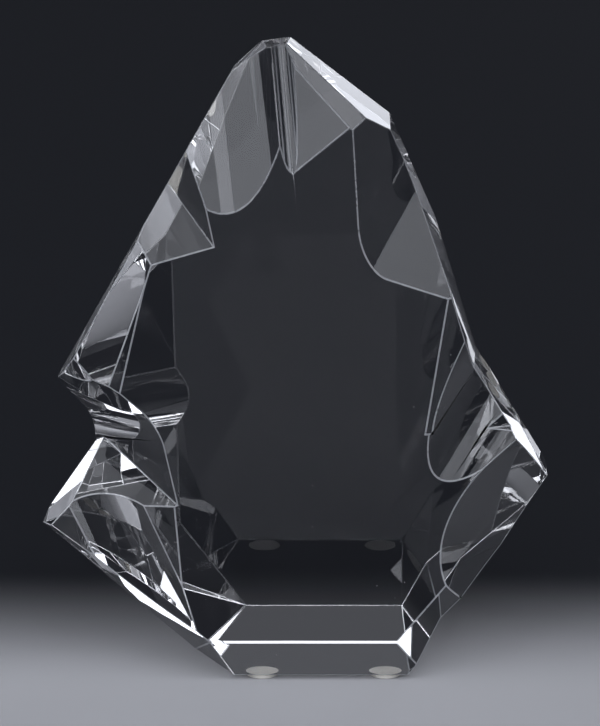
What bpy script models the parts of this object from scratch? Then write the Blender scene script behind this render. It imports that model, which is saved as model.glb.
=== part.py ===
"""Crystal award: a leaning, hand-cut block of clear crystal on four stick-on bumper pads.

Run with: blender --background --python part.py
Numbers are millimetres until metres() turns them into scene units. x is to the award's right,
y to its back and z up. Every cut takes glass away from one plain slab.
"""
import math

import bmesh
import bpy
from mathutils import Matrix, Vector

# Driving dimensions
HEIGHT = 203.2
FRONT_Y = -33.5
BACK_Y = 33.5
FRONT_LEAN = math.radians(15.0)
FOOT_STRIP = 11.8
SLAB_LEFT = -90.0
SLAB_RIGHT = 90.0

PAD_DIAMETER = 11.4
PAD_THICKNESS = 0.8
PAD_EDGE = 0.25
FILM_DIAMETER = 10.8
FILM_THICKNESS = 0.2
GAP = 0.3
PAD_SIDES = 64
PAD_CENTRES = {
    "front_left": (-11.0, -27.4),
    "front_right": (30.0, -27.4),
    "back_left": (-9.0, 24.5),
    "back_right": (29.0, 24.5),
}

FILM_BOTTOM = PAD_THICKNESS + GAP
PAD_STACK = FILM_BOTTOM + FILM_THICKNESS + GAP
GLASS_BOTTOM = 2.4
STRIP_TOP = GLASS_BOTTOM + FOOT_STRIP

CUTTER_REACH = 160.0
CUT_TOLERANCE = 0.0001
FLUTE_SIDES = 96
FLUTE_LENGTH = 180.0

INSIDE = Vector((10.0, 5.0, 60.0))

# The cuts are drawn on a block whose bottom is at GLASS_BOTTOM. SETTLING lowers the finished
# block onto its pads, and CENTRING puts the middle of the award's width at x = 0.
SETTLING = Vector((0.0, 0.0, PAD_STACK - GLASS_BOTTOM))
CENTRING = Vector((0.215, 0.0, 0.0))


def metres(value):
    """Millimetres to metres."""
    return value * 0.001


def front(x, z):
    """The point of the leaning front face at x, z."""
    return Vector((x, FRONT_Y + (z - STRIP_TOP) * math.tan(FRONT_LEAN), z))


# Flat cuts, each through three of its points.
FLATS = {
    "front_face": (front(-40, 60), front(40, 60), front(0, 150)),
    "apex_left": ((-17.7, 33.5, 197.2), (-10.9, 33.5, 202.0), (-13.0, 25, 199.6)),
    "apex": ((-10.9, 33.5, 202.0), (-1.6, 33.5, HEIGHT), (-4.6, 24, 202.6)),
    "right_shoulder": ((-1.6, 33.5, HEIGHT), (31.4, 33.5, 177.3), (19.0, 12.5, 183.5)),
    "shoulder_bevel": ((-2.0, 21.5, 198.0), (18.0, 11.0, 178.8), (8.5, 21.0, 193.0)),
    "brow": (front(0.6, 164.9), front(18.0, 178.5), (-2.0, 21.5, 198.0)),
    "groove_line": ((-0.6, 0, 164.0), (-4.4, 0, 203.0), (-0.6, 30, 164.0)),
    "right_flank_high": ((31.4, 33.5, 177.3), (47.4, 33.5, 140.4), (35.6, 15.6, 164.9)),
    "right_flank_low": ((47.4, 33.5, 140.4), (62.6, 33.5, 90.8), (52.9, 1, 120.5)),
    "right_wing_top": ((71.0, 30, 80.1), (86.6, 20, 56.4), (73.0, 5, 78.2)),
    "right_wing_under": ((75.9, -6, 49.4), (85.6, 5, 60.8), (66.5, 33, 32.7)),
    "right_haunch": ((48.2, -29.5, 21.6), (71.8, -10, 43.7), (49.0, 33.5, 22.0)),
    "right_foot": ((38.2, FRONT_Y, GLASS_BOTTOM), (48.2, -29.5, 21.6), (36.6, BACK_Y, GLASS_BOTTOM)),
    "right_foot_bevel": (front(51.8, 34.8), (33.4, FRONT_Y, STRIP_TOP), (38.3, FRONT_Y, 8.6)),
    "right_waist": (front(49.4, 119.0), front(42.8, 80.7), (60.6, -6.0, 101.4)),
    "waist_floor": ((42.0, 0, 81.0), (62.0, 0, 81.0), (42.0, 20, 81.0)),
    "scoop_left_side": (front(18.8, 179.5), front(21.6, 133.0), (28.0, 18.0, 177.4)),
    "scoop_floor": (front(21.6, 133.0), front(48.6, 124.7), (42.2, 14, 149.0)),
    "left_shoulder": (front(-29.6, 153.9), front(-26.9, 141.8), (-44.0, 22, 155.3)),
    "left_ledge": (front(-26.9, 140.6), front(-48.0, 134.8), (-46.4, 13, 149.2)),
    "left_cheek": ((-49.0, -0.8, 133.0), (-61.7, -10.2, 95.3), (-73.1, 3, 102.4)),
    "left_cheek_rim": (front(-48.0, 134.5), front(-57.7, 94.4), (-61.7, -10.2, 95.3)),
    "left_cheek_edge": ((-79.8, 12, 91.5), (-54.5, 10, 137.3), (-73.1, 3, 102.4)),
    "left_lobe_under": (front(-58.3, 94.4), front(-48.5, 86.5), (-79.8, 12, 91.5)),
    "left_lobe_side": (front(-43.2, 76.5), front(-39.8, 62.5), (-64.7, 14, 69.3)),
    "left_wing_top": (front(-40.6, 57.6), (-64.7, 14, 69.3), (-73.1, -3.4, 56.2)),
    "left_wing_edge": ((-82.9, 14, 47.1), (-64.7, 14, 69.3), (-73.1, -3.4, 56.2)),
    "left_wing_tip": ((-86.0, 8, 40.4), (-82.9, 14, 47.1), (-81.6, -4, 47.8)),
    "left_wing_front": (front(-39.6, 55.0), front(-37.0, 28.0), (-83.0, -6, 43.2)),
    "left_wing_lip": ((-86.0, 8, 40.4), (-33.6, -12, GLASS_BOTTOM), (-74.0, -10.8, 40.0)),
    "left_wing_under": ((-33.6, -12, GLASS_BOTTOM), (-86.0, 8, 40.4), (-17.0, BACK_Y, GLASS_BOTTOM)),
    "left_foot": (front(-28.2, STRIP_TOP), (-20.2, FRONT_Y, GLASS_BOTTOM), (-33.6, -12, GLASS_BOTTOM)),
    "left_heel": (front(-28.2, STRIP_TOP), (-33.6, -12, GLASS_BOTTOM), (-60.7, -8, 25.8)),
    "back_left_high": ((-38.5, 24, 162.5), (-18.0, 29, 198.6), (-31.0, 33.5, 155.0)),
    "back_left_mid": ((-54.5, 10, 137.3), (-79.8, 12, 91.5), (-51.5, 33.5, 137.3)),
    "back_left_low": ((-86.0, 8, 40.4), (-79.8, 12, 91.5), (-40.0, 33.5, 60.0)),
    "back_left_foot": ((-17.0, BACK_Y, GLASS_BOTTOM), (-36.0, BACK_Y, 28.0), (-82.0, 8, 39.0)),
    "back_right_wing": ((86.6, 20, 56.4), (71.0, 30, 80.1), (58.0, 33.5, 40.0)),
}

# The way out of the glass, for the flats that only stop another cut.
OUTWARD = {"groove_line": (1, 0, 0), "waist_floor": (0, 0, 1)}

# Flats that run right through the slab, which stays convex under them.
THROUGH_CUTS = (
    "front_face",
    "apex_left",
    "apex",
    "right_shoulder",
    "shoulder_bevel",
    "right_wing_under",
    "right_foot_bevel",
    "left_cheek",
    "left_cheek_rim",
    "left_cheek_edge",
    "left_wing_lip",
    "left_wing_under",
    "back_left_high",
    "back_left_mid",
    "back_left_low",
    "back_left_foot",
    "back_right_wing",
)

# Notches. Glass goes where it is outside all of the first flats and, where there are second
# ones, outside at least one of those too.
NOTCHES = {
    "crown_brow": (("brow", "groove_line"), ()),
    "right_scoop": (("scoop_left_side", "scoop_floor"), ()),
    "right_waist": (("right_waist", "waist_floor"), ()),
    "right_flank": (("right_wing_top",), ("right_flank_high", "right_flank_low")),
    "right_foot": (("right_foot", "right_haunch"), ()),
    "left_foot": (("left_foot", "left_heel"), ()),
    "left_ledge": (("left_ledge", "left_shoulder"), ()),
    "left_notch": (
        ("left_lobe_under", "left_lobe_side"),
        ("left_wing_top", "left_wing_edge", "left_wing_tip", "left_wing_front"),
    ),
}

# How far the inner corner of a notch is rounded.
NOTCH_ROUNDING = {"right_scoop": 9.0, "left_notch": 7.0}

# Round cuts: where the lowest line starts, where it runs to, the wheel's radius, and the way
# the wheel comes from.
FLUTES = {
    "crown_flute": (front(-20.8, 151.5), (-26.6, 28.0, 200.0), 48.0, (0, -1, 0)),
    "crown_groove": (front(-0.6, 164.0), (-4.4, 26.0, 203.0), 4.0, (0, -1, 0)),
    "right_lower_scoop": (front(44.0, 72.5), (62.0, -2.0, 96.5), 21.0, (0.3, -1, 0.2)),
    "right_wing_scoop": (front(49.3, 50.0), (84.3, 0.5, 56.0), 45.0, (0.3, -1, 0)),
    "left_wing_flute": ((-62.7, -6.8, 65.8), (-43.0, -24.0, 30.0), 26.0, (-0.4, -1, -0.2)),
    "back_left_scoop": ((-36.0, 33.5, 78.0), (-80.0, 10.0, 78.0), 26.0, (0, 1, 0)),
}


def clear_scene():
    """Start from an empty scene."""
    for thing in list(bpy.data.objects):
        bpy.data.objects.remove(thing, do_unlink=True)


def new_collection(name):
    """Make a collection under the scene."""
    made = bpy.data.collections.new(name)
    bpy.context.scene.collection.children.link(made)
    return made


def finish_material(name, colour, roughness, metallic=0.0, alpha=1.0):
    """A plain Principled finish."""
    made = bpy.data.materials.new(name)
    made.use_nodes = True
    shader = made.node_tree.nodes["Principled BSDF"]
    shader.inputs["Base Color"].default_value = (*colour, 1.0)
    shader.inputs["Roughness"].default_value = roughness
    shader.inputs["Metallic"].default_value = metallic
    shader.inputs["Alpha"].default_value = alpha
    return made


def mesh_object(name, mesh_maker, collection, move=CENTRING + SETTLING):
    """Turn a closed bmesh, modelled in millimetres, into an object in metres, in its place."""
    mesh = bpy.data.meshes.new(name)
    bmesh.ops.translate(mesh_maker, vec=move, verts=mesh_maker.verts)
    bmesh.ops.scale(mesh_maker, vec=(0.001, 0.001, 0.001), verts=mesh_maker.verts)
    mesh_maker.to_mesh(mesh)
    mesh_maker.free()
    made = bpy.data.objects.new(name, mesh)
    collection.objects.link(made)
    return made


def flat_normal(name):
    """A point of the flat, and its normal pointing out of the glass."""
    first, second, third = (Vector(point) for point in FLATS[name])
    normal = (second - first).cross(third - first).normalized()
    outward = Vector(OUTWARD[name]) if name in OUTWARD else first - INSIDE
    if normal.dot(outward) < 0:
        normal.negate()
    return first, normal


def trim(block, point, normal):
    """Keep the part of a closed convex block that lies past a plane."""
    everything = block.verts[:] + block.edges[:] + block.faces[:]
    cut = bmesh.ops.bisect_plane(
        block, geom=everything, dist=CUT_TOLERANCE, plane_co=point, plane_no=normal, clear_inner=True
    )
    rim = [part for part in cut["geom_cut"] if isinstance(part, bmesh.types.BMEdge)]
    if rim:
        bmesh.ops.edgeloop_fill(block, edges=rim)
        bmesh.ops.recalc_face_normals(block, faces=block.faces)


def cutter_block():
    """A block larger than the slab."""
    block = bmesh.new()
    bmesh.ops.create_cube(block, size=2 * CUTTER_REACH)
    bmesh.ops.translate(block, vec=INSIDE, verts=block.verts)
    return block


def round_notch(block, flats, rounding):
    """Round the edge where the two flats of a notch meet."""
    corner = [
        edge for edge in block.edges
        if all(abs((vert.co - point).dot(normal)) < 0.01 for vert in edge.verts for point, normal in flats)
    ]
    bmesh.ops.bevel(block, geom=corner, offset=rounding, segments=8, profile=0.5, affect="EDGES")


def notch_cutter(name, collection):
    """A block outside the first flats, less what lies inside all of the second ones."""
    first_names, second_names = NOTCHES[name]
    flats = [flat_normal(flat) for flat in first_names]
    block = cutter_block()
    for point, normal in flats:
        trim(block, point, normal)
    if name in NOTCH_ROUNDING:
        round_notch(block, flats, NOTCH_ROUNDING[name])
    cutter = mesh_object("cut_" + name, block, collection)
    if second_names:
        kept = cutter_block()
        for flat in second_names:
            point, normal = flat_normal(flat)
            trim(kept, point, -normal)
        cut_away(cutter, mesh_object("keep_" + name, kept, collection))
    return cutter


def flute_cutter(name, collection):
    """A grinding wheel's sweep: a cylinder whose lowest line runs from start towards end."""
    start, end, radius, facing = FLUTES[name]
    along = (Vector(end) - Vector(start)).normalized()
    outward = Vector(facing) - along * Vector(facing).dot(along)
    centre = Vector(start) + outward.normalized() * radius
    turn = along.to_track_quat("Z", "Y").to_matrix().to_4x4()
    wheel = bmesh.new()
    bmesh.ops.create_cone(
        wheel, cap_ends=True, segments=FLUTE_SIDES, radius1=radius, radius2=radius, depth=FLUTE_LENGTH
    )
    bmesh.ops.transform(wheel, matrix=Matrix.Translation(centre) @ turn, verts=wheel.verts)
    return mesh_object("cut_" + name, wheel, collection)


def cut_away(body, cutter):
    """Take one cutter out of the body."""
    cutter.hide_render = True
    cutter.display_type = "WIRE"
    cut = body.modifiers.new(cutter.name, "BOOLEAN")
    cut.operation = "DIFFERENCE"
    cut.solver = "EXACT"
    cut.object = cutter


def build_crystal(parts, cutters):
    """The one block of glass, cut from a slab."""
    slab = bmesh.new()
    bmesh.ops.create_cube(slab, size=1.0)
    top = HEIGHT + 1.0
    size = Vector((SLAB_RIGHT - SLAB_LEFT, BACK_Y - FRONT_Y, top - GLASS_BOTTOM))
    centre = Vector((SLAB_RIGHT + SLAB_LEFT, BACK_Y + FRONT_Y, top + GLASS_BOTTOM)) / 2
    bmesh.ops.scale(slab, vec=size, verts=slab.verts)
    bmesh.ops.translate(slab, vec=centre, verts=slab.verts)
    for name in THROUGH_CUTS:
        point, normal = flat_normal(name)
        trim(slab, point, -normal)
    body = mesh_object("crystal_body", slab, parts)
    body.data.materials.append(finish_material("clear_crystal", (0.86, 0.90, 0.93), 0.02, alpha=0.35))
    for name in NOTCHES:
        cut_away(body, notch_cutter(name, cutters))
    for name in FLUTES:
        cut_away(body, flute_cutter(name, cutters))
    return body


def disc(name, diameter, bottom, thickness, centre, parts, edge=0.0):
    """A round pad or film, lying flat, with its edge rounded where one is given."""
    made = bmesh.new()
    bmesh.ops.create_cone(
        made, cap_ends=True, segments=PAD_SIDES,
        radius1=diameter / 2, radius2=diameter / 2, depth=thickness,
    )
    bmesh.ops.translate(made, vec=(centre[0], centre[1], bottom + thickness / 2), verts=made.verts)
    piece = mesh_object(name, made, parts, CENTRING)
    if edge:
        rounding = piece.modifiers.new("rounded_edge", "BEVEL")
        rounding.width = metres(edge)
        rounding.segments = 3
        rounding.limit_method = "ANGLE"
    return piece


def build_pads(parts):
    """Four bumper pads, each under its own adhesive film."""
    vinyl = finish_material("bumper_vinyl", (0.80, 0.78, 0.71), 0.45)
    adhesive = finish_material("adhesive_film", (0.86, 0.83, 0.76), 0.35)
    for corner, centre in PAD_CENTRES.items():
        pad = disc("bumper_pad_" + corner, PAD_DIAMETER, 0.0, PAD_THICKNESS, centre, parts, PAD_EDGE)
        pad.data.materials.append(vinyl)
        film = disc("pad_adhesive_" + corner, FILM_DIAMETER, FILM_BOTTOM, FILM_THICKNESS, centre, parts)
        film.data.materials.append(adhesive)


def main():
    """Build the award."""
    clear_scene()
    parts = new_collection("crystal_award")
    cutters = new_collection("cutters")
    build_crystal(parts, cutters)
    build_pads(parts)


main()
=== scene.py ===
"""Looks of a crystal award: a leaning, hand-cut block of clear crystal on stick-on bumper pads.

The block is cut in millimetres from a plain slab, flat by flat, and is scaled to metres when it
is finished. x is to the award's right, y to its back and z up.
"""

import math

import bpy
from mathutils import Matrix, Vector


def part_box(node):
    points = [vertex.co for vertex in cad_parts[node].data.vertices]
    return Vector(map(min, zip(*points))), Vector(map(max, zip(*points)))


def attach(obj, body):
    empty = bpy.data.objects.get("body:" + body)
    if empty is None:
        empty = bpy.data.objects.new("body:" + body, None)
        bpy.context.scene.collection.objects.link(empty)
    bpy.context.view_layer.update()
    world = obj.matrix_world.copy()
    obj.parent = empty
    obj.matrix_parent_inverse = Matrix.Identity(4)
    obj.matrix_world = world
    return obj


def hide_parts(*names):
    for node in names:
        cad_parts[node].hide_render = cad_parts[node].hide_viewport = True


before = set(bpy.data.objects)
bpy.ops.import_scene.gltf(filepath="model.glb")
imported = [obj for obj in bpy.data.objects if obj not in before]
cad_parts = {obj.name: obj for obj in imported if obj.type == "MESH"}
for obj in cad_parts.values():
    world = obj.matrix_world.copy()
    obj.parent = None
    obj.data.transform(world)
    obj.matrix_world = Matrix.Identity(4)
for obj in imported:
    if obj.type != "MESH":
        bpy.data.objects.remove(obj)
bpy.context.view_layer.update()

# The block
TOP = 203.2
FRONT_Y = -33.5
BACK_Y = 33.5
FRONT_LEAN = math.radians(15.0)
FOOT_STRIP = 11.8
GLASS_BOTTOM = 2.4
STRIP_TOP = GLASS_BOTTOM + FOOT_STRIP
SLAB_HALF_WIDTH = 90.0
STAND = 1.6
PLACING = Vector((0.215, 0.0, STAND - GLASS_BOTTOM))
INSIDE = Vector((10.0, 5.0, 60.0))
BLOCK_SIZE = 320.0
WHEEL_LENGTH = 180.0
ARRIS = 0.3
ARRIS_ANGLE = math.radians(9.0)
ARRIS_STEPS = 2
SAME_PLACE = 0.02
SAME_FLAT = math.radians(0.05)
ON_PLANE = 0.01
STRIP_ROUNDING = 0.9
STRIP_STEPS = 6

CRYSTAL_IOR = 1.52
POLISH_WAVE = 0.00002
# How much pale frost goes on the arrises: a painted highlight for the bright edge lines
ARRIS_FROST_HIGHLIGHT = 0.2

# The pads
PAD_RADIUS = 5.7
PAD_HEIGHT = 0.8
PAD_TOP = 1.05
FILM_RADIUS = 5.45
FILM_BOTTOM = 1.1
FILM_TOP = 1.3
WETTING = 0.02
PAD_SIDES = 96

# The floor: painted light, pale in front like a lit pool, fading to painted dark from just behind the award
FLOOR_PAINTED_FALLOFF = (-0.045, 0.06)
FLOOR_PALE = (0.40, 0.40, 0.41)
FLOOR_PAINTED_DARK = (0.012, 0.013, 0.016)

# The camera
CAMERA_PLACE = (0.0018, -1.096, 0.4872)
CAMERA_TILT = math.radians(70.528)
CAMERA_LENS = 173.78


def front(x, z):
    """The point of the leaning front face at x, z."""
    return Vector((x, FRONT_Y + (z - STRIP_TOP) * math.tan(FRONT_LEAN), z))


# Flat cuts, each through three of its points.
FLATS = {
    "front_face": (front(-40, 60), front(40, 60), front(0, 150)),
    "apex_left": ((-17.7, 33.5, 197.2), (-10.9, 33.5, 202.0), (-13.0, 25, 199.6)),
    "apex": ((-10.9, 33.5, 202.0), (-1.6, 33.5, TOP), (-4.6, 24, 202.6)),
    "right_shoulder": ((-1.6, 33.5, TOP), (31.4, 33.5, 177.3), (19.0, 12.5, 183.5)),
    "shoulder_bevel": ((-2.0, 21.5, 198.0), (18.0, 11.0, 178.8), (8.5, 21.0, 193.0)),
    "brow": (front(0.6, 164.9), front(18.0, 178.5), (-2.0, 21.5, 198.0)),
    "groove_line": ((-0.6, 0, 164.0), (-4.4, 0, 203.0), (-0.6, 30, 164.0)),
    "right_flank_high": ((31.4, 33.5, 177.3), (47.4, 33.5, 140.4), (35.6, 15.6, 164.9)),
    "right_flank_low": ((47.4, 33.5, 140.4), (62.6, 33.5, 90.8), (52.9, 1, 120.5)),
    "right_wing_top": ((71.0, 30, 80.1), (86.6, 20, 56.4), (73.0, 5, 78.2)),
    "right_wing_under": ((75.9, -6, 49.4), (85.6, 5, 60.8), (66.5, 33, 32.7)),
    "right_haunch": ((48.2, -29.5, 21.6), (71.8, -10, 43.7), (49.0, 33.5, 22.0)),
    "right_foot": ((38.2, FRONT_Y, GLASS_BOTTOM), (48.2, -29.5, 21.6), (36.6, BACK_Y, GLASS_BOTTOM)),
    "right_foot_bevel": (front(51.8, 34.8), (33.4, FRONT_Y, STRIP_TOP), (38.3, FRONT_Y, 8.6)),
    "right_waist": (front(49.4, 119.0), front(42.8, 80.7), (60.6, -6.0, 101.4)),
    "waist_floor": ((42.0, 0, 81.0), (62.0, 0, 81.0), (42.0, 20, 81.0)),
    "scoop_left_side": (front(18.8, 179.5), front(21.6, 133.0), (28.0, 18.0, 177.4)),
    "scoop_floor": (front(21.6, 133.0), front(48.6, 124.7), (42.2, 14, 149.0)),
    "left_shoulder": (front(-29.6, 153.9), front(-26.9, 141.8), (-44.0, 22, 155.3)),
    "left_ledge": (front(-26.9, 140.6), front(-48.0, 134.8), (-46.4, 13, 149.2)),
    "left_cheek": ((-49.0, -0.8, 133.0), (-61.7, -10.2, 95.3), (-73.1, 3, 102.4)),
    "left_cheek_rim": (front(-48.0, 134.5), front(-57.7, 94.4), (-61.7, -10.2, 95.3)),
    "left_cheek_edge": ((-79.8, 12, 91.5), (-54.5, 10, 137.3), (-73.1, 3, 102.4)),
    "left_lobe_under": (front(-58.3, 94.4), front(-48.5, 86.5), (-79.8, 12, 91.5)),
    "left_lobe_side": (front(-43.2, 76.5), front(-39.8, 62.5), (-64.7, 14, 69.3)),
    "left_wing_top": (front(-40.6, 57.6), (-64.7, 14, 69.3), (-73.1, -3.4, 56.2)),
    "left_wing_edge": ((-82.9, 14, 47.1), (-64.7, 14, 69.3), (-73.1, -3.4, 56.2)),
    "left_wing_tip": ((-86.0, 8, 40.4), (-82.9, 14, 47.1), (-81.6, -4, 47.8)),
    "left_wing_front": (front(-39.6, 55.0), front(-37.0, 28.0), (-83.0, -6, 43.2)),
    "left_wing_lip": ((-86.0, 8, 40.4), (-33.6, -12, GLASS_BOTTOM), (-74.0, -10.8, 40.0)),
    "left_wing_under": ((-33.6, -12, GLASS_BOTTOM), (-86.0, 8, 40.4), (-17.0, BACK_Y, GLASS_BOTTOM)),
    "left_foot": (front(-28.2, STRIP_TOP), (-20.2, FRONT_Y, GLASS_BOTTOM), (-33.6, -12, GLASS_BOTTOM)),
    "left_heel": (front(-28.2, STRIP_TOP), (-33.6, -12, GLASS_BOTTOM), (-60.7, -8, 25.8)),
    "back_left_high": ((-38.5, 24, 162.5), (-18.0, 29, 198.6), (-31.0, 33.5, 155.0)),
    "back_left_mid": ((-54.5, 10, 137.3), (-79.8, 12, 91.5), (-51.5, 33.5, 137.3)),
    "back_left_low": ((-86.0, 8, 40.4), (-79.8, 12, 91.5), (-40.0, 33.5, 60.0)),
    "back_left_foot": ((-17.0, BACK_Y, GLASS_BOTTOM), (-36.0, BACK_Y, 28.0), (-82.0, 8, 39.0)),
    "back_right_wing": ((86.6, 20, 56.4), (71.0, 30, 80.1), (58.0, 33.5, 40.0)),
}

# The way out of the glass, for the flats that only stop another cut.
OUTWARD = {"groove_line": (1, 0, 0), "waist_floor": (0, 0, 1)}

# Flats that run right through the slab.
THROUGH_CUTS = (
    "front_face",
    "apex_left",
    "apex",
    "right_shoulder",
    "shoulder_bevel",
    "right_wing_under",
    "right_foot_bevel",
    "left_cheek",
    "left_cheek_rim",
    "left_cheek_edge",
    "left_wing_lip",
    "left_wing_under",
    "back_left_high",
    "back_left_mid",
    "back_left_low",
    "back_left_foot",
    "back_right_wing",
)

# Notches: glass goes where it is outside all of the first flats and, where there are second
# ones, outside at least one of those too.
NOTCHES = {
    "crown_brow": (("brow", "groove_line"), ()),
    "right_scoop": (("scoop_left_side", "scoop_floor"), ()),
    "right_waist": (("right_waist", "waist_floor"), ()),
    "right_flank": (("right_wing_top",), ("right_flank_high", "right_flank_low")),
    "right_foot": (("right_foot", "right_haunch"), ()),
    "left_foot": (("left_foot", "left_heel"), ()),
    "left_ledge": (("left_ledge", "left_shoulder"), ()),
    "left_notch": (
        ("left_lobe_under", "left_lobe_side"),
        ("left_wing_top", "left_wing_edge", "left_wing_tip", "left_wing_front"),
    ),
}

# How far the inner corner of a notch is rounded.
NOTCH_ROUNDING = {"right_scoop": 9.0, "left_notch": 7.0}
ROUNDING_STEPS = 20

# Round cuts: where the lowest line starts, where it runs to, the wheel's radius, the way the
# wheel comes from and how many sides the cut has.
FLUTES = {
    "crown_flute": (front(-20.8, 151.5), (-26.6, 28.0, 200.0), 48.0, (0, -1, 0), 256),
    "crown_groove": (front(-0.6, 164.0), (-4.4, 26.0, 203.0), 4.0, (0, -1, 0), 40),
    "right_lower_scoop": (front(44.0, 72.5), (62.0, -2.0, 96.5), 21.0, (0.3, -1, 0.2), 144),
    "right_wing_scoop": (front(49.3, 50.0), (84.3, 0.5, 56.0), 45.0, (0.3, -1, 0), 256),
    "left_wing_flute": ((-62.7, -6.8, 65.8), (-43.0, -24.0, 30.0), 26.0, (-0.4, -1, -0.2), 160),
    "back_left_scoop": ((-36.0, 33.5, 78.0), (-80.0, 10.0, 78.0), 26.0, (0, 1, 0), 160),
}


# Working on one piece

def alone(piece):
    """Select one piece and nothing else."""
    bpy.ops.object.select_all(action="DESELECT")
    piece.select_set(True)
    bpy.context.view_layer.objects.active = piece


def named(name):
    """Name the primitive just added."""
    made = bpy.context.active_object
    made.name = name
    made.data.name = name
    return made


def settle(piece):
    """Put a piece's place, turn and size into its mesh."""
    alone(piece)
    bpy.ops.object.transform_apply(location=True, rotation=True, scale=True)


def edit_all(piece):
    """Open a piece for editing with all of it selected."""
    alone(piece)
    bpy.ops.object.mode_set(mode="EDIT")
    bpy.ops.mesh.select_mode(type="VERT")
    bpy.ops.mesh.select_all(action="SELECT")


def close_edit():
    """Go back to whole objects."""
    bpy.ops.object.mode_set(mode="OBJECT")


def select_edges(piece, wanted):
    """Select the edges whose two ends pass a test, and open the piece for editing."""
    alone(piece)
    mesh = piece.data
    for part in (mesh.vertices, mesh.edges, mesh.polygons):
        part.foreach_set("select", [False] * len(part))
    for edge in mesh.edges:
        edge.select = all(wanted(mesh.vertices[index].co) for index in edge.vertices)
    bpy.ops.object.mode_set(mode="EDIT")
    bpy.ops.mesh.select_mode(type="EDGE")


def apply_modifiers(piece):
    """Make a piece's modifiers part of its mesh."""
    alone(piece)
    for modifier in list(piece.modifiers):
        bpy.ops.object.modifier_apply(modifier=modifier.name)


def subtract(piece, cutter):
    """Cut one closed shape out of another, and drop the cutter."""
    cut = piece.modifiers.new("cut", "BOOLEAN")
    cut.operation = "DIFFERENCE"
    cut.solver = "EXACT"
    cut.object = cutter
    apply_modifiers(piece)
    bpy.data.objects.remove(cutter, do_unlink=True)


# The crystal

def flat_plane(name):
    """A point of the flat, and its normal pointing out of the glass."""
    first, second, third = (Vector(point) for point in FLATS[name])
    normal = (second - first).cross(third - first).normalized()
    outward = Vector(OUTWARD[name]) if name in OUTWARD else first - INSIDE
    if normal.dot(outward) < 0:
        normal.negate()
    return first, normal


def shave(piece, point, normal):
    """Take away what lies beyond a plane, and close the cut."""
    edit_all(piece)
    bpy.ops.mesh.bisect(plane_co=point, plane_no=normal, use_fill=True, clear_outer=True, threshold=1e-4)
    close_edit()


def on_all(planes):
    """A test for points that lie on every one of the planes."""
    return lambda co: all(abs((co - point).dot(normal)) < ON_PLANE for point, normal in planes)


def cutter_block(name):
    """A block larger than the slab."""
    bpy.ops.object.select_all(action="DESELECT")
    bpy.ops.mesh.primitive_cube_add(size=BLOCK_SIZE, location=INSIDE)
    made = named(name)
    settle(made)
    return made


def notch_cutter(name):
    """A block outside the first flats, less what lies inside all of the second ones."""
    first_names, second_names = NOTCHES[name]
    planes = [flat_plane(flat) for flat in first_names]
    cutter = cutter_block("notch")
    for point, normal in planes:
        shave(cutter, point, -normal)
    if name in NOTCH_ROUNDING:
        select_edges(cutter, on_all(planes))
        bpy.ops.mesh.bevel(
            offset=NOTCH_ROUNDING[name], segments=ROUNDING_STEPS, profile=0.5, affect="EDGES"
        )
        close_edit()
    if second_names:
        kept = cutter_block("kept")
        for flat in second_names:
            point, normal = flat_plane(flat)
            shave(kept, point, normal)
        subtract(cutter, kept)
    return cutter


def wheel_cutter(name):
    """The sweep of a grinding wheel: a cylinder whose lowest line runs from start towards end."""
    start, end, radius, facing, sides = FLUTES[name]
    along = (Vector(end) - Vector(start)).normalized()
    outward = Vector(facing) - along * Vector(facing).dot(along)
    centre = Vector(start) + outward.normalized() * radius
    bpy.ops.object.select_all(action="DESELECT")
    bpy.ops.mesh.primitive_cylinder_add(
        vertices=sides, radius=radius, depth=WHEEL_LENGTH, location=centre,
        rotation=along.to_track_quat("Z", "Y").to_euler(),
    )
    made = named("wheel")
    settle(made)
    return made


def cut_crystal():
    """The block, cut from a slab and finished with fine polished arrises."""
    top = TOP + 1.0
    bpy.ops.object.select_all(action="DESELECT")
    bpy.ops.mesh.primitive_cube_add(
        size=1.0,
        location=(0.0, (FRONT_Y + BACK_Y) / 2, (top + GLASS_BOTTOM) / 2),
        scale=(2 * SLAB_HALF_WIDTH, BACK_Y - FRONT_Y, top - GLASS_BOTTOM),
    )
    block = named("cut_crystal")
    settle(block)
    block.data.materials.append(crystal_finish())
    block.data.materials.append(arris_frost_highlight_finish())
    for name in THROUGH_CUTS:
        point, normal = flat_plane(name)
        shave(block, point, normal)
    strip_plane = (Vector((0.0, FRONT_Y, 0.0)), Vector((0.0, 1.0, 0.0)))
    planes = (flat_plane("front_face"), strip_plane)
    select_edges(block, on_all(planes))
    bpy.ops.mesh.bevel(offset=STRIP_ROUNDING, segments=STRIP_STEPS, profile=0.5, affect="EDGES")
    close_edit()
    for name in NOTCHES:
        subtract(block, notch_cutter(name))
    for name in FLUTES:
        subtract(block, wheel_cutter(name))
    edit_all(block)
    bpy.ops.mesh.remove_doubles(threshold=SAME_PLACE)
    bpy.ops.mesh.dissolve_limited(angle_limit=SAME_FLAT)
    close_edit()
    block.data.polygons.foreach_set("material_index", [0] * len(block.data.polygons))
    arris = block.modifiers.new("arris", "BEVEL")
    arris.width = ARRIS
    arris.segments = ARRIS_STEPS
    arris.limit_method = "ANGLE"
    arris.angle_limit = ARRIS_ANGLE
    arris.use_clamp_overlap = False
    arris.material = 1
    apply_modifiers(block)
    edit_all(block)
    bpy.ops.transform.translate(value=PLACING)
    bpy.ops.transform.resize(value=(0.001, 0.001, 0.001), center_override=(0.0, 0.0, 0.0))
    close_edit()
    alone(block)
    bpy.ops.object.shade_smooth()
    flats = block.modifiers.new("flats", "WEIGHTED_NORMAL")
    flats.mode = "FACE_AREA"
    flats.weight = 100
    apply_modifiers(block)
    return block


# Finishes

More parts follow.
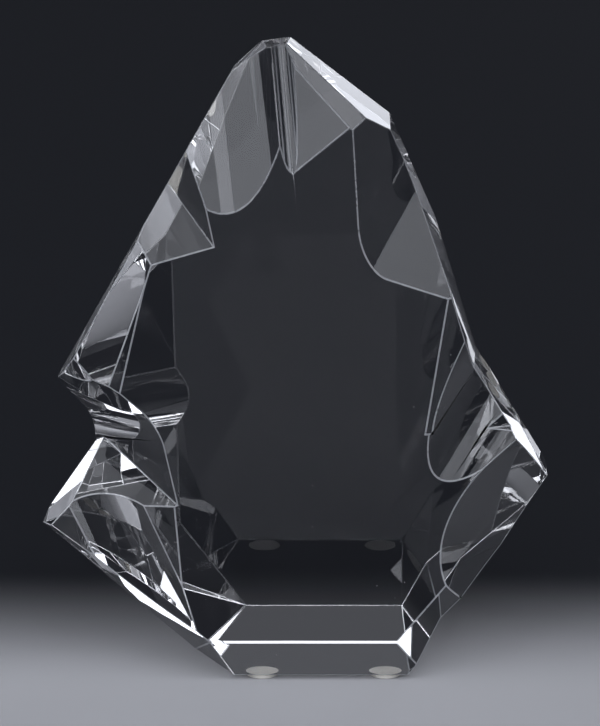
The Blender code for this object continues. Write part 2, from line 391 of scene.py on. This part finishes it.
class Value:
    """A socket's value, with arithmetic that adds Math nodes."""

    def __init__(self, finish, socket):
        self.finish = finish
        self.socket = socket

    def maths(self, operation, *terms):
        inputs = dict(enumerate(terms))
        return self.finish.node("ShaderNodeMath", {"operation": operation}, inputs)

    def __add__(self, other):
        return self.maths("ADD", self, other)

    def __mul__(self, other):
        return self.maths("MULTIPLY", self, other)

    def __gt__(self, other):
        return self.maths("GREATER_THAN", self, other)

    def __lt__(self, other):
        return self.maths("LESS_THAN", self, other)

    __radd__ = __add__
    __rmul__ = __mul__


class Finish:
    """A material while its nodes are being laid out."""

    def __init__(self, name):
        self.material = bpy.data.materials.new(name)
        self.material.use_nodes = True
        self.tree = self.material.node_tree
        self.tree.nodes.clear()
        self.output = self.tree.nodes.new("ShaderNodeOutputMaterial")
        self.place = self.node("ShaderNodeTexCoord", output="Object")

    def node(self, kind, settings=None, inputs=None, output=0):
        """Add a node: its settings, what goes into it, and which output is wanted."""
        made = self.tree.nodes.new(kind)
        for key, setting in (settings or {}).items():
            if key == "stops":
                self.lay_stops(made.color_ramp, setting)
            else:
                setattr(made, key, setting)
        for key, given in (inputs or {}).items():
            if isinstance(given, Value):
                self.tree.links.new(given.socket, made.inputs[key])
            else:
                made.inputs[key].default_value = given
        return Value(self, made.outputs[output])

    def lay_stops(self, ramp, stops):
        """Set a ramp's stops, each a place and a colour."""
        while len(ramp.elements) < len(stops):
            ramp.elements.new(0.5)
        for element, (place, colour) in zip(ramp.elements, stops):
            element.position = place
            element.color = (*colour, 1.0)

    def done(self, surface):
        """Show this shader on the surface."""
        self.tree.links.new(surface.socket, self.output.inputs["Surface"])
        return self.material


def crystal_finish():
    """Clear optical crystal, hand polished, with a little dust on it."""
    finish = Finish("clear_crystal")
    waviness = finish.node("ShaderNodeTexNoise", {}, {"Vector": finish.place, "Scale": 42.0, "Detail": 1.0})
    polish = finish.node(
        "ShaderNodeBump", {}, {"Height": waviness, "Strength": 1.0, "Distance": POLISH_WAVE}, "Normal"
    )
    glass = finish.node(
        "ShaderNodeBsdfGlass", {},
        {"Color": (1.0, 1.0, 1.0, 1.0), "Roughness": 0.0, "IOR": CRYSTAL_IOR, "Normal": polish},
    )
    cells = {"Vector": finish.place, "Scale": 330.0}
    distance = finish.node("ShaderNodeTexVoronoi", {}, cells, "Distance")
    chance = finish.node("ShaderNodeTexVoronoi", {}, cells, "Color")
    pick = finish.node("ShaderNodeSeparateColor", {}, {"Color": chance}, "Red")
    width = finish.node("ShaderNodeSeparateColor", {}, {"Color": chance}, "Green")
    speck = (pick > 0.93) * (distance < width * 0.035 + 0.02)
    dust = finish.node(
        "ShaderNodeBsdfPrincipled", {}, {"Base Color": (0.75, 0.76, 0.78, 1.0), "Roughness": 0.9}
    )
    return finish.done(finish.node("ShaderNodeMixShader", {}, {0: speck * 0.8, 1: glass, 2: dust}))


def arris_frost_highlight_finish():
    """The thin line ground along every edge: clear, with a pale frost that is a painted highlight for the
    bright lines of the polished edges, full from the middle forward and a quarter as strong at the back.
    """
    finish = Finish("ground_arris")
    place = {"Vector": finish.place}
    grain = finish.node("ShaderNodeTexNoise", {}, {**place, "Scale": 900.0, "Detail": 2.0})
    depth = finish.node("ShaderNodeSeparateXYZ", {}, place, "Y")
    toward_front = finish.node(
        "ShaderNodeMapRange", {}, {"Value": depth, "From Min": 0.03, "From Max": 0.0, "To Min": 0.25}
    )
    glass = finish.node("ShaderNodeBsdfGlass", {}, {"Roughness": 0.05, "IOR": CRYSTAL_IOR})
    frost_highlight = finish.node(
        "ShaderNodeBsdfPrincipled", {}, {"Base Color": (0.92, 0.94, 0.97, 1.0), "Roughness": 0.6}
    )
    # Painted highlight: the share of pale frost, full from the middle forward and a quarter at the back
    # face
    highlight_share = (grain * 0.2 + ARRIS_FROST_HIGHLIGHT) * toward_front
    return finish.done(finish.node("ShaderNodeMixShader", {}, {0: highlight_share, 1: glass, 2: frost_highlight}))


def vinyl_finish(name, colour, roughness):
    """Soft cream vinyl with a faint mottle and grain."""
    finish = Finish(name)
    mottle = finish.node("ShaderNodeTexNoise", {}, {"Vector": finish.place, "Scale": 700.0, "Detail": 3.0})
    tone = finish.node(
        "ShaderNodeValToRGB",
        {"stops": ((0.35, tuple(part * 0.93 for part in colour)), (0.65, colour))},
        {"Fac": mottle},
    )
    grain = finish.node("ShaderNodeTexNoise", {}, {"Vector": finish.place, "Scale": 6000.0, "Detail": 2.0})
    bump = finish.node(
        "ShaderNodeBump", {}, {"Height": grain, "Strength": 0.4, "Distance": 0.00004}, "Normal"
    )
    vinyl = finish.node(
        "ShaderNodeBsdfPrincipled", {},
        {"Base Color": tone, "Roughness": mottle * 0.1 + roughness, "Normal": bump},
    )
    return finish.done(vinyl)


def floor_painted_pool_finish():
    """A floor painted with light: pale in front of the award like a lit pool, fading to painted dark behind
    it.
    """
    finish = Finish("floor")
    depth = finish.node("ShaderNodeSeparateXYZ", {}, {"Vector": finish.place}, "Y")
    # Painted light: the colour goes from the pale pool in front to painted dark behind, where the light
    # would fall off
    painted_falloff = finish.node(
        "ShaderNodeMapRange", {"interpolation_type": "SMOOTHSTEP"},
        {"Value": depth, "From Min": FLOOR_PAINTED_FALLOFF[0], "From Max": FLOOR_PAINTED_FALLOFF[1]},
    )
    tone = finish.node(
        "ShaderNodeValToRGB", {"stops": ((0.0, FLOOR_PALE), (1.0, FLOOR_PAINTED_DARK))}, {"Fac": painted_falloff}
    )
    paint = finish.node(
        "ShaderNodeBsdfPrincipled", {},
        {"Base Color": tone, "Roughness": 0.9, "Specular IOR Level": 0.05},
    )
    return finish.done(paint)


# Studio lights: which way each lies from the award (0 in front, 90 to its right), how high, its
# half width and half height in degrees as the award sees it, and its brightness.
LIGHTS = {
    "key": (20.0, 45.0, 25.0, 12.0, 2.0),
    "fill_left": (-25.0, 35.0, 20.0, 10.0, 2.5),
    "overhead": (0.0, 80.0, 30.0, 15.0, 1.5),
    "side_right": (80.0, 50.0, 10.0, 20.0, 2.0),
    "side_left": (-75.0, 50.0, 30.0, 15.0, 1.2),
    "rear_right": (155.0, 15.0, 10.0, 10.0, 3.0),
    "rear_left": (-145.0, 25.0, 8.0, 8.0, 2.5),
    "rear_strip": (180.0, 28.0, 25.0, 1.5, 1.5),
    "rear_panel": (180.0, 30.0, 30.0, 8.0, 0.06),
}
LIGHT_DISTANCE = 5.0
SURROUNDINGS = (0.0144, 0.0152, 0.0194, 1.0)
FLOOR_SIZE = 6.0
LIGHT_TINT = (0.96, 0.99, 1.08)
LIT_POINT = Vector((0.0, 0.0, 0.1))


def add_light(name):
    """A soft rectangular light aimed at the award, unseen by the camera."""
    azimuth, elevation, half_width, half_height, brightness = LIGHTS[name]
    turn, rise = math.radians(azimuth), math.radians(elevation)
    way = Vector((math.sin(turn) * math.cos(rise), -math.cos(turn) * math.cos(rise), math.sin(rise)))
    lamp = bpy.data.lights.new(name, "AREA")
    lamp.shape = "RECTANGLE"
    lamp.color = LIGHT_TINT
    lamp.size = 2 * LIGHT_DISTANCE * math.tan(math.radians(half_width))
    lamp.size_y = 2 * LIGHT_DISTANCE * math.tan(math.radians(half_height))
    lamp.energy = brightness * math.pi * lamp.size * lamp.size_y
    made = bpy.data.objects.new(name, lamp)
    bpy.context.scene.collection.objects.link(made)
    made.location = LIT_POINT + way * LIGHT_DISTANCE
    made.rotation_euler = (-way).to_track_quat("-Z", "Y").to_euler()
    made.visible_camera = False


def studio():
    """Dark surroundings, the soft lights, the floor and the camera."""
    scene = bpy.context.scene
    world = bpy.data.worlds.new("studio")
    scene.world = world
    world.use_nodes = True
    world.node_tree.nodes["Background"].inputs["Color"].default_value = SURROUNDINGS
    for name in LIGHTS:
        add_light(name)
    bpy.ops.object.select_all(action="DESELECT")
    bpy.ops.mesh.primitive_plane_add(size=FLOOR_SIZE)
    floor = named("floor")
    floor.data.materials.append(floor_painted_pool_finish())
    lens = bpy.data.cameras.new("camera")
    lens.lens = CAMERA_LENS
    lens.sensor_width = 36.0
    camera = bpy.data.objects.new("camera", lens)
    scene.collection.objects.link(camera)
    camera.location = CAMERA_PLACE
    camera.rotation_euler = (CAMERA_TILT, 0.0, 0.0)
    scene.camera = camera
    scene.view_settings.view_transform = "Standard"
    scene.cycles.max_bounces = 32
    scene.cycles.transmission_bounces = 32
    scene.cycles.glossy_bounces = 16


def turned_disc(name, radius, bottom, top, edge, dish, centre):
    """A soft round disc: rolled edges and a shallow dish beneath."""
    bpy.ops.object.select_all(action="DESELECT")
    bpy.ops.mesh.primitive_cylinder_add(
        vertices=PAD_SIDES, radius=radius, depth=top - bottom, end_fill_type="NGON",
        location=(centre[0], centre[1], (top + bottom) / 2),
    )
    made = named(name)
    settle(made)
    rim = made.modifiers.new("rim", "BEVEL")
    rim.width = edge
    rim.segments = 4
    rim.limit_method = "ANGLE"
    apply_modifiers(made)
    if dish:
        for face in made.data.polygons:
            face.select = face.normal.z < -0.99
        bpy.ops.object.mode_set(mode="EDIT")
        bpy.ops.mesh.select_mode(type="FACE")
        bpy.ops.mesh.inset(thickness=radius * 0.22)
        bpy.ops.mesh.inset(thickness=radius * 0.12)
        bpy.ops.transform.translate(value=(0.0, 0.0, dish))
        close_edit()
    edit_all(made)
    bpy.ops.transform.resize(value=(0.001, 0.001, 0.001), center_override=(0.0, 0.0, 0.0))
    close_edit()
    alone(made)
    bpy.ops.object.shade_smooth_by_angle(angle=math.radians(35.0))
    return made


def lay_pad(corner, finishes):
    """One bumper pad and its film, standing where the solids are."""
    low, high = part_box("bumper_pad_" + corner)
    centre = ((low[0] + high[0]) * 500, (low[1] + high[1]) * 500)
    wet = corner.startswith("front")
    film_top = STAND + WETTING if wet else FILM_TOP
    pieces = (
        ("pad", "bumper_pad_", "bumper_vinyl", (PAD_RADIUS, 0.0, PAD_TOP, 0.22, 0.12)),
        ("film", "pad_adhesive_", "adhesive_film", (FILM_RADIUS, FILM_BOTTOM, film_top, 0.04, 0.0)),
    )
    for word, node, slot, shape in pieces:
        made = turned_disc(word + "_" + corner, *shape, centre)
        made.data.materials.append(finishes[slot])
        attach(made, "root")
        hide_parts(node + corner)


crystal = cut_crystal()
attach(crystal, "root")
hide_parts("crystal_body")

pad_finishes = {
    "bumper_vinyl": vinyl_finish("bumper_vinyl", (0.90, 0.87, 0.79), 0.4),
    "adhesive_film": vinyl_finish("adhesive_film", (0.90, 0.87, 0.79), 0.3),
}
for corner in ("front_left", "front_right", "back_left", "back_right"):
    lay_pad(corner, pad_finishes)

studio()
